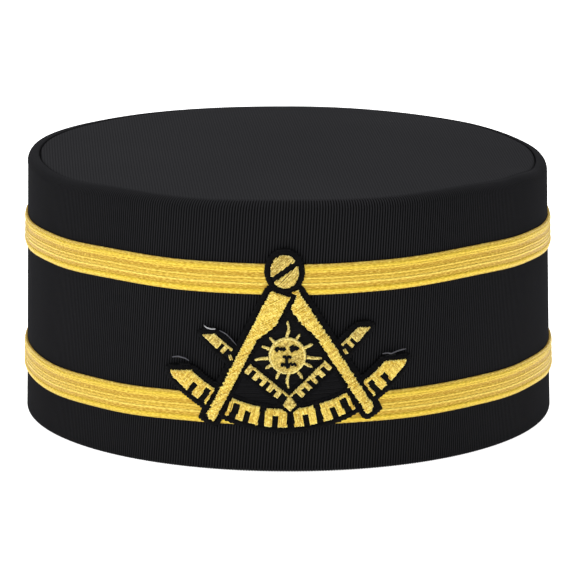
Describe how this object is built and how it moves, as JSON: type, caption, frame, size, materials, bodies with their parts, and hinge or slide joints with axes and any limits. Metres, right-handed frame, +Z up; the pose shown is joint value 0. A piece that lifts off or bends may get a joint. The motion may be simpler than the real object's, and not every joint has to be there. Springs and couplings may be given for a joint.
{
  "type": "ceremonial crown cap",
  "caption": "Low oval pillbox cap of black ribbed cloth with a flat set-in top, gold braid bands and an embroidered compasses emblem on the front.",
  "frame": {"origin": "centre of the cap's outline at the level of its rim, on the surface that it stands on", "axes": "+Z up, from the rim to the top; -Y towards the front with the emblem; +X to the wearer's left, which is the right of the picture"},
  "size_m": [0.1767, 0.2131, 0.0862],
  "materials": {
    "ribbed_cloth": "black ribbed cloth, matt",
    "gold_braid": "woven metallic gold braid, satin sheen",
    "black_satin": "black satin stitch",
    "gold_thread": "pale gold embroidery thread, soft sheen"
  },
  "bodies": {
    "root": {"crown_side": "ribbed_cloth", "crown_top": "ribbed_cloth", "braid_lower": "gold_braid", "braid_upper": "gold_braid", "emblem_patch": "black_satin", "compasses_head": "gold_thread", "compasses_leg_left": "gold_thread", "compasses_leg_right": "gold_thread", "sun": "gold_thread", "square_angle": "gold_thread", "square_tip_left": "gold_thread", "square_tip_right": "gold_thread", "quadrant_inner_left": "gold_thread", "quadrant_outer_left": "gold_thread", "quadrant_tip_left": "gold_thread", "quadrant_inner_right": "gold_thread", "quadrant_outer_right": "gold_thread", "quadrant_tip_right": "gold_thread"}
  },
  "joints": []
}
